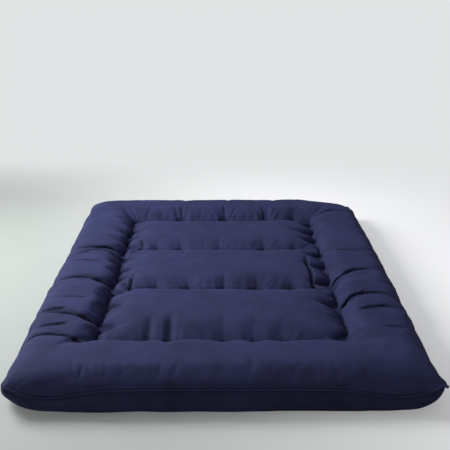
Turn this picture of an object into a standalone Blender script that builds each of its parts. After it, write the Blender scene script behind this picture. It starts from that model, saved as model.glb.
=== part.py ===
"""Stuffed floor futon mattress that folds in three, modelled as it is sewn and filled.

Metres, +Z up. The origin is on the floor under the middle. +X is to the right, and +Y runs from
the foot end to the head end. A foot, a middle and a head third meet at the two fold lines.
"""

import math

import bmesh
import bpy
import numpy as np

# Driving dimensions
WIDTH = 1.524
LENGTH = 2.032
CREST_HEIGHT = 0.165  # top of the stuffed border roll
PILLOW_HEIGHT = 0.145  # top of the stuffed centre
SEAM_HEIGHT = 0.095  # piped seam between the top and the bottom cover
SIDE_BORDER = 0.272  # long edges to the border stitching
END_BORDER = 0.31  # foot and head edges to the border stitching
EDGE_ROUNDING = 0.14  # how far in the outer side of the roll curves
PILLOW_ROUNDING = 0.13  # how far the centre rises away from the border stitching
CROSS_ROUNDING = 0.085  # how far it rises away from a cross stitch line
CROSS_RISE = 0.02  # filling left under a cross stitch line
CROSS_STOP = 0.085  # from the end of a cross stitch line to the border stitching
TRAY_ROUNDING = 0.045  # how far in the bottom edge curves
CORNER_RADIUS = 0.11
CORNER_SHARE = 0.45  # 1 makes the corners round in plan, 0 leaves them square
SIDE_PULL = 0.012  # how far the filling draws the long sides in at their middle
END_PULL = 0.008  # the same at the two ends
WADDING_TOP = 0.045  # top of the base wadding, where the support pad starts
FABRIC = 0.001  # thickness of the covers
LINING = 0.001  # thickness of the inner lining
STITCH_LAND = 0.006  # flat strip that a stitch line presses down
PIPING_RADIUS = 0.0025
THREAD_RADIUS = 0.001
FILL_CLEARANCE = 0.0005  # between a filling and the fabric round it
GAP = 0.0003  # between pieces that touch
HINGE_CLEARANCE = 0.0005  # from a folding line to the nearest surface

# How square the bulges are: 2 is an ellipse, and more is fuller
BULGE_POWER = 2.4
EDGE_POWER = 2.3
TRAY_POWER = 2.6
TUBE_SIDES = 6
FLAT_ANGLE = math.radians(0.05)  # faces that meet flatter than this become one

# Worked out from these
HALF_WIDTH = WIDTH / 2
HALF_LENGTH = LENGTH / 2
FOLD_LINE = LENGTH / 6
FIELD_X = HALF_WIDTH - SIDE_BORDER  # border stitching, from the middle
FIELD_Y = HALF_LENGTH - END_BORDER
CROSS_Y = FIELD_Y / 3  # the cross lines part the centre into three equal pillows
CROSS_X = FIELD_X - CROSS_STOP
SIDE_ROLL_ROUNDING = SIDE_BORDER - STITCH_LAND / 2 - EDGE_ROUNDING
END_ROLL_ROUNDING = END_BORDER - STITCH_LAND / 2 - EDGE_ROUNDING
LINING_TOP = SEAM_HEIGHT + LINING / 2
LINING_BOTTOM = SEAM_HEIGHT - LINING / 2
LAND_HEIGHT = LINING_TOP + GAP + FABRIC  # outside of the cover along the border stitching
TOP_RIM = SEAM_HEIGHT + GAP / 2
TRAY_RIM = SEAM_HEIGHT - GAP / 2

# Grid lines, as distances from the outer edge, from the border stitching and from a cross line
EDGE_LINES = [0, 0.08 * TRAY_ROUNDING, 0.42 * TRAY_ROUNDING, TRAY_ROUNDING, EDGE_ROUNDING]
ROLL_LINES = [0.3, 0.06, 0]  # shares of a roll's rounding
FIELD_LINES = [0, 0.06 * PILLOW_ROUNDING, 0.3 * PILLOW_ROUNDING, PILLOW_ROUNDING]
CROSS_LINES = [0, 0.08 * CROSS_ROUNDING, 0.35 * CROSS_ROUNDING]
ROLL_FIRST = 1  # fillings leave out the line on the seam
ROLL_LAST = len(EDGE_LINES) + len(ROLL_LINES) - 2  # and the lines that touch the stitching
FIELD_FIRST = ROLL_LAST + 3

COLOURS = {
    "cover": (0.045, 0.048, 0.13, 1),
    "piping": (0.03, 0.032, 0.09, 1),
    "stitching": (0.02, 0.022, 0.06, 1),
    "fill": (0.8, 0.8, 0.77, 1),
    "lining": (0.75, 0.74, 0.7, 1),
    "pad": (0.85, 0.8, 0.62, 1),
    "wadding": (0.7, 0.7, 0.68, 1),
}


def bulge(share, power=BULGE_POWER):
    """Rise of a stuffed shape, 0 at its stitched edge and 1 where it levels out."""
    share = min(max(share, 0.0), 1.0)
    return (1 - (1 - share) ** power) ** (1 / power)


def edge_rise(x, y, rounding, power):
    """0 on the outline and 1 further in than the rounding, turning smoothly at the corners."""
    across = max(0.0, 1 - (HALF_WIDTH - abs(x)) / rounding)
    along = max(0.0, 1 - (HALF_LENGTH - abs(y)) / rounding)
    reach = math.sqrt(across**2 + along**2 - (across * along) ** 2)
    return bulge(1 - reach, power)


def roll_rise(x, y):
    """Height of the border roll over the stitch land, from its share of the way to the crest."""
    beside = max(0.0, abs(x) - FIELD_X - STITCH_LAND / 2)
    beyond = max(0.0, abs(y) - FIELD_Y - STITCH_LAND / 2)
    share = math.hypot(beside / SIDE_ROLL_ROUNDING, beyond / END_ROLL_ROUNDING)
    return (CREST_HEIGHT - LAND_HEIGHT) * bulge(share)


def pillow_rise(x, y):
    """Height of the centre over the stitch land, sunk along the two cross lines."""
    inside_x = (FIELD_X - STITCH_LAND / 2 - abs(x)) / PILLOW_ROUNDING
    inside_y = (FIELD_Y - STITCH_LAND / 2 - abs(y)) / PILLOW_ROUNDING
    past_end = max(0.0, abs(x) - CROSS_X)
    off_line = max(0.0, abs(abs(y) - CROSS_Y) - STITCH_LAND / 2)
    full = PILLOW_HEIGHT - LAND_HEIGHT
    sunk = full - CROSS_RISE
    height = CROSS_RISE + sunk * bulge(math.hypot(past_end, off_line) / CROSS_ROUNDING)
    return height * bulge(inside_x) * bulge(inside_y)


def top_height(x, y):
    rise = LAND_HEIGHT - TOP_RIM + roll_rise(x, y) + pillow_rise(x, y)
    return TOP_RIM + rise * edge_rise(x, y, EDGE_ROUNDING, EDGE_POWER)


def tray_height(x, y):
    return TRAY_RIM * (1 - edge_rise(x, y, TRAY_ROUNDING, TRAY_POWER))


def plan(x, y):
    """Where a point of the flat panel lies once the corners round off and the sides draw in."""
    across = max(0.0, 1 - (HALF_WIDTH - abs(x)) / CORNER_RADIUS)
    along = max(0.0, 1 - (HALF_LENGTH - abs(y)) / CORNER_RADIUS)
    in_x = CORNER_RADIUS * across * (1 - math.sqrt(1 - CORNER_SHARE * along**2 / 2))
    in_y = CORNER_RADIUS * along * (1 - math.sqrt(1 - CORNER_SHARE * across**2 / 2))
    in_x += SIDE_PULL * (1 - (y / HALF_LENGTH) ** 2) * abs(x) / HALF_WIDTH
    past_fold = max(0.0, abs(y) - FOLD_LINE) / (HALF_LENGTH - FOLD_LINE)
    in_y += END_PULL * (1 - (x / HALF_WIDTH) ** 2) * past_fold**2
    return x - math.copysign(in_x, x), y - math.copysign(in_y, y)


def surface(columns, rows, height):
    """Points of a fabric surface, as an array over the grid's columns and rows."""
    return np.array([[(*plan(x, y), height(x, y)) for y in rows] for x in columns])


def flat(grid, height):
    """The same plan points, all at one height."""
    level = grid.copy()
    level[..., 2] = height
    return level


def offsets(grid):
    """For each point, the step up that moves all the faces round it out by one unit."""
    side = grid[1:, 1:] - grid[:-1, :-1]
    across = grid[:-1, 1:] - grid[1:, :-1]
    normals = np.cross(side, across)
    normals /= np.linalg.norm(normals, axis=2, keepdims=True)
    total = np.zeros_like(grid)
    count = np.zeros(grid.shape[:2] + (1,))
    for i in (0, 1):
        for j in (0, 1):
            part = (slice(i, grid.shape[0] - 1 + i), slice(j, grid.shape[1] - 1 + j))
            total[part] += normals
            count[part] += 1
    mean = total / count
    return mean / np.sum(mean**2, axis=2, keepdims=True)


def inset(grid, depth):
    """Moves a surface by a depth, down if positive, but never off its rim or its fold line."""
    moved = grid - depth * offsets(grid)
    on_rim = np.abs(grid[..., 2] - SEAM_HEIGHT) < GAP
    on_fold = np.abs(np.abs(grid[..., 1]) - FOLD_LINE) < GAP
    moved[on_rim, 2] = grid[on_rim, 2]
    moved[on_fold, 1] = grid[on_fold, 1]
    return moved


def border(columns, rows):
    """Grid positions round the edge, counter-clockwise from above."""
    near = [(i, 0) for i in range(columns - 1)]
    right = [(columns - 1, j) for j in range(rows - 1)]
    far = [(i, rows - 1) for i in range(columns - 1, 0, -1)]
    left = [(0, j) for j in range(rows - 1, 0, -1)]
    return near + right + far + left


def split_square(i, j, on_left):
    """Two triangles of a grid square, split along the diagonal that runs in from a near corner."""
    near_left, near_right, far_right, far_left = (i, j), (i + 1, j), (i + 1, j + 1), (i, j + 1)
    if on_left:
        return (near_left, near_right, far_right), (near_left, far_right, far_left)
    return (near_left, near_right, far_left), (near_right, far_right, far_left)


def solid_between(upper, lower):
    """Closed mesh between two grids of the same size, with flat areas joined into one face."""
    mesh = bmesh.new()
    columns, rows = upper.shape[:2]
    top = [[mesh.verts.new(point) for point in line] for line in upper]
    base = [[mesh.verts.new(point) for point in line] for line in lower]
    for i in range(columns - 1):
        for j in range(rows - 1):
            for corners in split_square(i, j, on_left=upper[i, j, 0] < 0):
                mesh.faces.new([top[m][n] for m, n in corners])
                mesh.faces.new([base[m][n] for m, n in reversed(corners)])
    ring = border(columns, rows)
    for (i, j), (m, n) in zip(ring, ring[1:] + ring[:1]):
        mesh.faces.new((top[m][n], top[i][j], base[i][j]))
        mesh.faces.new((top[m][n], base[i][j], base[m][n]))
    join_flat_faces(mesh)
    return mesh


def join_flat_faces(mesh):
    mesh.normal_update()
    bmesh.ops.dissolve_limit(mesh, angle_limit=FLAT_ANGLE, verts=[], edges=mesh.edges)


def cut_level(mesh, height, keep_below):
    """Cuts a closed mesh at a height, keeps one side and closes it."""
    geometry = mesh.verts[:] + mesh.edges[:] + mesh.faces[:]
    cut = bmesh.ops.bisect_plane(
        mesh,
        geom=geometry,
        plane_co=(0, 0, height),
        plane_no=(0, 0, 1),
        clear_outer=keep_below,
        clear_inner=not keep_below,
    )
    edges = [item for item in cut["geom_cut"] if isinstance(item, bmesh.types.BMEdge)]
    bmesh.ops.edgeloop_fill(mesh, edges=edges)
    bmesh.ops.recalc_face_normals(mesh, faces=mesh.faces)
    join_flat_faces(mesh)
    return mesh


def tube(path, radius, end_direction):
    """Closed tube along a nearly level path, cut square to end_direction at both ends."""
    points = [np.array(point, dtype=float) for point in path]
    steps = [b - a for a, b in zip(points, points[1:])]
    steps = [step / np.linalg.norm(step) for step in steps]
    mesh = bmesh.new()
    rings = []
    for k, point in enumerate(points):
        if k in (0, len(points) - 1):
            step = steps[min(k, len(steps) - 1)]
            heading = np.array(end_direction) * np.sign(np.dot(step, end_direction))
            mitre = 1.0
        else:
            heading = steps[k - 1] + steps[k]
            mitre = 2 / np.linalg.norm(heading)
        sideways = np.cross(heading, (0, 0, 1))
        sideways *= mitre / np.linalg.norm(sideways)
        rings.append([])
        for k_side in range(TUBE_SIDES):
            turn = 2 * math.pi * k_side / TUBE_SIDES
            offset = sideways * math.cos(turn) + np.array((0, 0, math.sin(turn)))
            rings[-1].append(mesh.verts.new(point + radius * offset))
    for near, far in zip(rings, rings[1:]):
        for k in range(TUBE_SIDES):
            after = (k + 1) % TUBE_SIDES
            mesh.faces.new((near[k], near[after], far[after], far[k]))
    mesh.faces.new(list(reversed(rings[0])))
    mesh.faces.new(rings[-1])
    bmesh.ops.recalc_face_normals(mesh, faces=mesh.faces)
    return mesh


def outside_path(path, distance):
    """A level path moved sideways to its right by a distance, with mitred corners."""
    points = [np.array(point, dtype=float) for point in path]
    moved = []
    for k, point in enumerate(points):
        before = point - points[k - 1] if k else points[1] - point
        after = points[k + 1] - point if k < len(points) - 1 else before
        heading = before / np.linalg.norm(before) + after / np.linalg.norm(after)
        mitre = 2 / np.linalg.norm(heading)
        right = np.array((heading[1], -heading[0], 0)) / np.linalg.norm(heading)
        moved.append(point + right * distance * mitre)
    moved[0][1] = points[0][1]
    moved[-1][1] = points[-1][1]
    return moved


def material_for(node, kind, roughness):
    material = bpy.data.materials.new(f"{node}_{kind}")
    material.use_nodes = True
    shader = material.node_tree.nodes["Principled BSDF"]
    shader.inputs["Base Color"].default_value = COLOURS[kind]
    shader.inputs["Roughness"].default_value = roughness
    shader.inputs["Metallic"].default_value = 0.0
    return material


def add_piece(node, mesh, kind, hinge, turn=1, roughness=0.9):
    """Links one sub-part, turned half round for the head end, under its third's empty."""
    if turn < 0:
        for vertex in mesh.verts:
            vertex.co.x = -vertex.co.x
            vertex.co.y = -vertex.co.y
    data = bpy.data.meshes.new(node)
    mesh.to_mesh(data)
    mesh.free()
    data.shade_smooth()
    data.set_sharp_from_angle(angle=math.radians(50))
    data.materials.append(material_for(node, kind, roughness))
    piece = bpy.data.objects.new(node, data)
    bpy.context.scene.collection.objects.link(piece)
    piece.parent = hinge
    piece.location = -hinge.location


def add_hinge(name, location):
    """Empty that carries one third, on the line that the third turns about."""
    empty = bpy.data.objects.new(name, None)
    empty.location = location
    bpy.context.scene.collection.objects.link(empty)
    return empty


def grid_columns():
    half = [HALF_WIDTH - d for d in EDGE_LINES]
    half += [FIELD_X + STITCH_LAND / 2 + share * SIDE_ROLL_ROUNDING for share in ROLL_LINES]
    half += [FIELD_X - STITCH_LAND / 2 - d for d in FIELD_LINES]
    half += [CROSS_X]
    return sorted(half + [-x for x in half])


def end_rows():
    """From the foot end to the first fold line."""
    rows = [d - HALF_LENGTH for d in EDGE_LINES]
    rows += [-FIELD_Y - STITCH_LAND / 2 - share * END_ROLL_ROUNDING for share in ROLL_LINES]
    rows += [-FIELD_Y + STITCH_LAND / 2 + d for d in FIELD_LINES]
    return sorted(rows + [-FOLD_LINE - GAP / 2])


def middle_rows():
    """From the first fold line to the second."""
    half = [FOLD_LINE - GAP / 2]
    half += [CROSS_Y + STITCH_LAND / 2 + d for d in CROSS_LINES]
    half += [CROSS_Y - STITCH_LAND / 2 - d for d in CROSS_LINES + [CROSS_ROUNDING]]
    return sorted(half + [-y for y in half])


def layers(rows):
    """Outside and inside of the top cover and of the tray, and the room inside each."""
    columns = grid_columns()
    top = surface(columns, rows, top_height)
    tray = surface(columns, rows, tray_height)
    room = FABRIC + FILL_CLEARANCE
    return {
        "top": top,
        "top_inside": inset(top, FABRIC),
        "top_room": inset(top, room),
        "tray": tray,
        "tray_inside": inset(tray, -FABRIC),
        "tray_room": inset(tray, -room),
    }


def add_covers(name, sheets, hinge, turn):
    cover = solid_between(sheets["top"], sheets["top_inside"])
    add_piece(f"{name}_top_cover", cover, "cover", hinge, turn)
    tray = solid_between(sheets["tray_inside"], sheets["tray"])
    add_piece(f"{name}_bottom_cover", tray, "cover", hinge, turn)


def add_base(name, sheets, hinge, turn, first_row):
    """Lining, support pad and base wadding, from the seam down to the tray."""
    room = sheets["top_room"]
    lining = solid_between(flat(room, LINING_TOP), flat(room, LINING_BOTTOM))
    add_piece(f"{name}_inner_lining", lining, "lining", hinge, turn)
    core = sheets["tray_room"][1:-1, first_row:]
    top = flat(core, LINING_BOTTOM - GAP)
    wadding = cut_level(solid_between(top, core), WADDING_TOP, keep_below=True)
    add_piece(f"{name}_base_wadding", wadding, "wadding", hinge, turn)
    pad = cut_level(solid_between(top, core), WADDING_TOP + GAP, keep_below=False)
    add_piece(f"{name}_support_pad", pad, "pad", hinge, turn)


def add_fill(node, grid, hinge, turn):
    """Stuffing under part of the top cover, with a flat base on the lining."""
    fill = solid_between(grid, flat(grid, LINING_TOP + GAP))
    add_piece(node, fill, "fill", hinge, turn)


def stitch_height(x, y):
    return top_height(x, y) + GAP + THREAD_RADIUS


def add_stitching(node, line, hinge, turn, end_direction=(0, 1, 0)):
    """Thread that lies along a stitch line, on the cover."""
    path = [(*plan(x, y), stitch_height(x, y)) for x, y in line]
    thread = tube(path, THREAD_RADIUS, end_direction)
    add_piece(node, thread, "stitching", hinge, turn, roughness=0.7)


def add_piping(node, line, hinge, turn):
    """Corded edge outside the seam, along a line that has the mattress on its left."""
    path = [(*plan(x, y), SEAM_HEIGHT) for x, y in line]
    cord = tube(outside_path(path, PIPING_RADIUS + GAP), PIPING_RADIUS, (0, 1, 0))
    add_piece(node, cord, "piping", hinge, turn, roughness=0.8)


def add_end_third(name, hinge, turn, left, right):
    """Foot third, or the head third when turned half round."""
    rows = end_rows()
    columns = grid_columns()
    sheets = layers(rows)
    add_covers(name, sheets, hinge, turn)
    add_base(name, sheets, hinge, turn, first_row=1)
    room = sheets["top_room"]
    add_fill(f"{name}_end_roll_fill", room[1:-1, ROLL_FIRST : ROLL_LAST + 1], hinge, turn)
    side = room[:, ROLL_LAST:].copy()
    side[:, 0, 1] += GAP
    add_fill(f"{name}_{left}_roll_fill", side[ROLL_FIRST : ROLL_LAST + 1], hinge, turn)
    add_fill(f"{name}_{right}_roll_fill", side[-ROLL_LAST - 1 : -ROLL_FIRST], hinge, turn)
    centre = room[FIELD_FIRST:-FIELD_FIRST, FIELD_FIRST:]
    add_fill(f"{name}_centre_fill", centre, hinge, turn)
    outline = [(-HALF_WIDTH, y) for y in reversed(rows)]
    outline += [(x, -HALF_LENGTH) for x in columns[1:-1]]
    outline += [(HALF_WIDTH, y) for y in rows]
    add_piping(f"{name}_edge_piping", outline, hinge, turn)
    stitched = [(-FIELD_X, y) for y in reversed(rows) if y > -FIELD_Y]
    stitched += [(x, -FIELD_Y) for x in (-FIELD_X, *columns, FIELD_X) if abs(x) <= FIELD_X]
    stitched += [(FIELD_X, y) for y in rows if y > -FIELD_Y]
    add_stitching(f"{name}_border_stitching", stitched, hinge, turn)


def add_middle_third(hinge):
    rows = middle_rows()
    columns = grid_columns()
    sheets = layers(rows)
    add_covers("middle", sheets, hinge, 1)
    add_base("middle", sheets, hinge, 1, first_row=0)
    room = sheets["top_room"]
    add_fill("middle_left_roll_fill", room[ROLL_FIRST : ROLL_LAST + 1], hinge, 1)
    add_fill("middle_right_roll_fill", room[-ROLL_LAST - 1 : -ROLL_FIRST], hinge, 1)
    add_fill("middle_centre_fill", room[FIELD_FIRST:-FIELD_FIRST], hinge, 1)
    for side, sign in (("left", -1), ("right", 1)):
        outline = [(sign * HALF_WIDTH, sign * y) for y in rows]
        add_piping(f"middle_{side}_piping", outline, hinge, 1)
        stitched = [(sign * FIELD_X, y) for y in rows]
        add_stitching(f"middle_{side}_border_stitching", stitched, hinge, 1)
    for end, y in (("foot", -CROSS_Y), ("head", CROSS_Y)):
        stitched = [(x, y) for x in columns if abs(x) <= CROSS_X]
        add_stitching(f"{end}_cross_stitching", stitched, hinge, 1, end_direction=(1, 0, 0))


def main():
    for old in list(bpy.data.objects):
        bpy.data.objects.remove(old)
    foot = add_hinge("foot_third", (0, 0, 0))
    middle = add_hinge("middle_third", (0, -FOLD_LINE, CREST_HEIGHT + HINGE_CLEARANCE))
    head = add_hinge("head_third", (0, FOLD_LINE, -HINGE_CLEARANCE))
    bpy.context.view_layer.update()
    add_end_third("foot", foot, turn=1, left="left", right="right")
    add_middle_third(middle)
    add_end_third("head", head, turn=-1, left="right", right="left")


main()
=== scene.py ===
import math

import bpy
import numpy as np
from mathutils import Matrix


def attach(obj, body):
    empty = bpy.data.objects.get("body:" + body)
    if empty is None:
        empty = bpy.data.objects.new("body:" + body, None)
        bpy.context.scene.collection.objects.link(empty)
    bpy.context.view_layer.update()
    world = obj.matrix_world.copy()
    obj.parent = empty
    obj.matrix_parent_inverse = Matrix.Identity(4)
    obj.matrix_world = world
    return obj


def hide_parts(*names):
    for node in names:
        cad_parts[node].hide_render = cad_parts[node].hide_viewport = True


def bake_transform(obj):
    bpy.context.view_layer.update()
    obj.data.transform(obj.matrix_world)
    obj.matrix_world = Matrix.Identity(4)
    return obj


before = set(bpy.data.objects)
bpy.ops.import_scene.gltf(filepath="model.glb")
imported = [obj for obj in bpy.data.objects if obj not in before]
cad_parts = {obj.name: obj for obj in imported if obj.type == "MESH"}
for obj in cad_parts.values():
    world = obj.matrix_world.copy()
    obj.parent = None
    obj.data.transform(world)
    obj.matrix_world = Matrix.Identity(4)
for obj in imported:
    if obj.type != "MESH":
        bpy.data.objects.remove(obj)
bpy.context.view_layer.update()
print("frame loaded,", len(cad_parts), "solids")
random = np.random.default_rng(12)

# Metres, +Z up, foot end at -Y. These sizes follow those of the solids.
mattress = {
    "halfWidth": 0.762,
    "halfLength": 1.016,
    "foldLine": 0.338667,
    "crestHeight": 0.157,  # of the roll before the filling presses it out to its full height
    "fullHeight": 0.1652,
    "pillowHeight": 0.142,
    "seamHeight": 0.095,
    "landHeight": 0.0968,  # cover along the stitching, where it is sewn down to the lining
    "liningHeight": 0.095,
    "sideBorder": 0.272,
    "endBorder": 0.310,
    "edgeRounding": 0.14,
    "pillowRounding": 0.145,
    "crossRounding": 0.10,
    "crossRise": 0.02,
    "crossStop": 0.085,
    "trayRounding": 0.045,
    "sidePull": 0.004,
    "endPull": 0.008,
    "stitchLand": 0.003,  # half the flat strip that the stitching presses down
}
# How the filling rounds the covers and pushes them out. A higher power gives a fuller rounding.
stuffing = {
    "edgePower": 2.3,
    "rollPower": (2.7, 2.2),  # along most of the roll, and at the head end
    "pillowPower": (2.2, 0.6),  # and how steeply a pillow leaves the stitching
    "trayPower": 3.2,
    "belly": (0.008, 0.012),  # how far the top cover stands out past the seam, and more at the sides
    "trayBelly": 0.027,
    "softTop": 0.008,  # how far below its full height the top starts to be held back
}
corner = {
    "radius": 0.11,
    "share": 0.45,  # 1 rounds the corners in plan, 0 leaves them square
    "out": (0.004, 0.014, 0.002),  # how far they stick out: foot left, foot right, head
    "outReach": 0.18,
    "sink": (0.018, 0.008, 0.042),  # how much thinner the filling is: foot, head left, head right
    "sinkReach": 0.34,
    "trayLift": (0.20, 0.15),  # how much further in the tray is rounded, left and right
    "liftReach": 0.33,
    "flat": (0.8, 0.12),  # share of the push that is missing, and its reach
}
seam = {
    "tip": (0.013, 0.002),  # how far it rises to a corner, at the foot and at the head
    "tipReach": 0.10,
    "endSag": (0.027, 0.59, 0.12),  # depth, place and reach of the dips beside the corners in an end
    "sideSag": (0.013, 0.84, 0.11),  # the same in a side
    "ripple": 0.0022,
}
halfWidth = mattress["halfWidth"]
halfLength = mattress["halfLength"]
foldLine = mattress["foldLine"]
seamHeight = mattress["seamHeight"]
landHeight = mattress["landHeight"]
stitchLand = mattress["stitchLand"]
fieldX = halfWidth - mattress["sideBorder"]
fieldY = halfLength - mattress["endBorder"]
crossX = fieldX - mattress["crossStop"]
crossY = fieldY / 3
sideRounding = mattress["sideBorder"] - stitchLand - mattress["edgeRounding"]
endRounding = mattress["endBorder"] - stitchLand - mattress["edgeRounding"]

# Where the cover is folded and where its stitching puckers
folds = {
    # folds across the side rolls: y where they leave the stitching and where they end, how far across
    # the roll they start and stop, in m, how deep they are, in mm, and how far they bow to the head, in m
    "left": ((0.61, 0.64, 0.01, 0.12, 6, 0.01), (0.42, 0.50, 0.00, 0.14, 9, 0.01),
             (0.30, 0.36, 0.01, 0.15, 7, 0.01), (0.19, 0.19, 0.02, 0.25, 17, 0),
             (0.115, 0.14, 0.02, 0.22, 13, 0.02), (0.12, 0.09, 0.14, 0.26, 8, 0),
             (-0.02, 0.00, 0.05, 0.24, 8, 0.018), (-0.21, -0.20, 0.02, 0.26, 18, 0.02),
             (-0.41, -0.40, 0.05, 0.24, 6, 0.005), (-0.50, -0.515, 0.13, 0.26, 9, 0),
             (-0.575, -0.535, 0.01, 0.22, 17, 0.006), (-0.63, -0.66, 0.09, 0.25, 8, 0),
             (-0.765, -0.72, 0.00, 0.27, 12, 0.02)),
    "right": ((0.715, 0.755, 0.04, 0.22, 14, 0.007), (0.17, 0.12, 0.01, 0.22, 9, -0.007),
              (-0.20, -0.10, 0.01, 0.22, 19, 0.034), (-0.41, -0.395, 0.02, 0.26, 18, 0.044),
              (-0.52, -0.49, 0.05, 0.26, 11, 0.012), (-0.67, -0.67, 0.12, 0.24, 5, 0)),
    # places where the stitching puckers, from the middle of each line
    "leftPuckers": (0.595, 0.496, 0.40, 0.286, 0.114, -0.03, -0.123, -0.267, -0.409, -0.594),
    "rightPuckers": (0.604, 0.464, 0.351, 0.149, 0.002, -0.181, -0.40, -0.673),
    "footPuckers": (-0.289, -0.205, 0.005, 0.12, 0.226, 0.455),
    "headPuckers": (-0.226, 0.016, 0.246, 0.40),
    "footCrossPuckers": (-0.294, -0.148, 0.006, 0.152, 0.307),
    "headCrossPuckers": (-0.33, -0.21, -0.016, 0.21, 0.36),
    # how far a pucker keeps the filling from the stitching, and how far it pulls the side stitching in, m
    "notchDepth": {"side": 0.042, "foot": 0.009, "head": 0.010, "cross": 0.010, "sideRoll": 0.022,
                   "endRoll": 0.014, "pull": 0.019},
    "notchWidth": 0.048,  # half of the width of a notch where it leaves the stitching
    "notchPoint": 1.15,  # 1 makes its sides straight, more makes them hollow
    "pullReach": 0.06,
}


# Shape of the stuffed covers, before any fold

def smooth(share):
    share = np.clip(share, 0, 1)
    return share * share * (3 - 2 * share)


def bulge(share, power, steep=None):
    share = np.clip(share, 0, 1)
    return (1 - (1 - share) ** power) ** (steep or 1 / power)


def hump(place, middle, reach):
    return np.exp(-(((place - middle) / reach) ** 2))


def fromEdge(x, y, rounding):
    across = np.clip(1 - (halfWidth - abs(x)) / rounding, 0, 1)
    along = np.clip(1 - (halfLength - abs(y)) / rounding, 0, 1)
    return across, along


def edgeRise(x, y, rounding, power):
    across, along = fromEdge(x, y, rounding)
    reach = np.sqrt(across**2 + along**2 - (across * along) ** 2)
    return bulge(1 - reach, power)


def notch(place, places, kind):
    # at a pucker the filling starts further from the stitching, in a pointed notch; some are deeper
    deep = 0
    for number, at in enumerate(places):
        size = folds["notchDepth"][kind] * (0.75, 1.1, 0.9, 1.25)[number * 3 % 4]
        near = np.clip(1 - abs(place - at) / folds["notchWidth"], 0, 1)
        deep = deep + size * near ** folds["notchPoint"]
    return deep


def byEnd(x, low, high):
    # one value to the left or the foot end, another to the right or the head end
    return np.where(x < 0, low, high)


def notches(across, along, low, high, lowKind, highKind):
    # notches of the left or the foot line, and of the right or the head line
    return byEnd(across, notch(along, folds[low], lowKind), notch(along, folds[high], highKind))


def rollRise(x, y):
    starts = [[fold[0] for fold in folds[side] if fold[2] < 0.03] for side in ("left", "right")]
    sideNotch = byEnd(x, notch(y, starts[0], "sideRoll"), notch(y, starts[1], "sideRoll"))
    endNotch = notches(y, x, "footPuckers", "headPuckers", "endRoll", "endRoll")
    beside = np.clip(abs(x) - fieldX - stitchLand - sideNotch * (abs(y) < fieldY), 0, None)
    beyond = np.clip(abs(y) - fieldY - stitchLand - endNotch * (abs(x) < fieldX), 0, None)
    share = np.hypot(beside / sideRounding, beyond / endRounding)
    most, atHead = stuffing["rollPower"]
    power = most - (most - atHead) * smooth((y - 0.55) / 0.15)
    return (mattress["crestHeight"] - landHeight) * bulge(share, power)


def pillowRise(x, y):
    sideNotch = notches(x, y, "leftPuckers", "rightPuckers", "side", "side")
    endNotch = notches(y, x, "footPuckers", "headPuckers", "foot", "head")
    crossNotch = notches(y, x, "footCrossPuckers", "headCrossPuckers", "cross", "cross")
    insideX = (fieldX - stitchLand - abs(x) - sideNotch) / mattress["pillowRounding"]
    insideY = (fieldY - stitchLand - abs(y) - endNotch) / mattress["pillowRounding"]
    pastEnd = np.clip(abs(x) - crossX, 0, None)
    offLine = np.clip(abs(abs(y) - crossY) - stitchLand - crossNotch, 0, None)
    power, steep = stuffing["pillowPower"]
    sunk = mattress["pillowHeight"] - landHeight - mattress["crossRise"]
    sunk = sunk * bulge(np.hypot(pastEnd, offLine) / mattress["crossRounding"], power, steep)
    return (mattress["crossRise"] + sunk) * bulge(insideX, power, steep) * bulge(insideY, power, steep)


def nearCorner(x, y, reach):
    return smooth(1 - np.hypot(halfWidth - abs(x), halfLength - abs(y)) / reach)


def seamLevel(x, y):
    # the piped seam sags beside each corner and rises to a point at it
    tip = byEnd(y, *seam["tip"]) * nearCorner(x, y, seam["tipReach"])
    endDepth, endPlace, endReach = seam["endSag"]
    sideDepth, sidePlace, sideReach = seam["sideSag"]
    sagEnd = hump(abs(x), endPlace, endReach) * smooth((abs(y) - 0.80) / 0.15)
    sagSide = hump(abs(y), sidePlace, sideReach) * smooth((abs(x) - 0.60) / 0.12)
    ripple = np.sin(9.1 * x + 0.6) * np.sin(7.3 * y + 1.1)
    return seamHeight + tip - endDepth * sagEnd - sideDepth * sagSide + seam["ripple"] * ripple


def plan(x, y):
    # where a point of the flat rectangle lies once the filling and the stitching pull at it
    radius = corner["radius"]
    across, along = fromEdge(x, y, radius)
    inX = radius * across * (1 - np.sqrt(1 - corner["share"] * along**2 / 2))
    inY = radius * along * (1 - np.sqrt(1 - corner["share"] * across**2 / 2))
    inX = inX + mattress["sidePull"] * (1 - (y / halfLength) ** 2) * abs(x) / halfWidth
    pastFold = np.clip(abs(y) - foldLine, 0, None) / (halfLength - foldLine)
    inY = inY + mattress["endPull"] * (1 - (x / halfWidth) ** 2) * pastFold**2
    footLeft, footRight, atHead = corner["out"]
    inX = inX - byEnd(y, byEnd(x, footLeft, footRight), atHead) * nearCorner(x, y, corner["outReach"])
    pull = notches(x, y, "leftPuckers", "rightPuckers", "pull", "pull")
    inX = inX + pull * hump(abs(x), fieldX, folds["pullReach"]) * smooth((fieldY + 0.01 - abs(y)) / 0.06)
    return x - np.sign(x) * inX, y - np.sign(y) * inY


def stuffed(x, y, height, share, belly, low=False):
    # a point of a cover; between the seam and the level part the filling pushes it out by the belly
    planX, planY = plan(x, y)
    across, along = fromEdge(x, y, mattress["edgeRounding"])
    total = np.hypot(across, along) + 1e-9
    full = (1 - (1 - share) ** 3) * (1 - share**8) if low else np.sin(math.pi * share)
    missing, reach = corner["flat"]
    out = belly * full * (1 - missing * nearCorner(x, y, reach))
    planX = planX + np.sign(x) * out * across / total
    planY = planY + np.sign(y) * out * along / total
    return np.stack((planX, planY, height), axis=-1)


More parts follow.
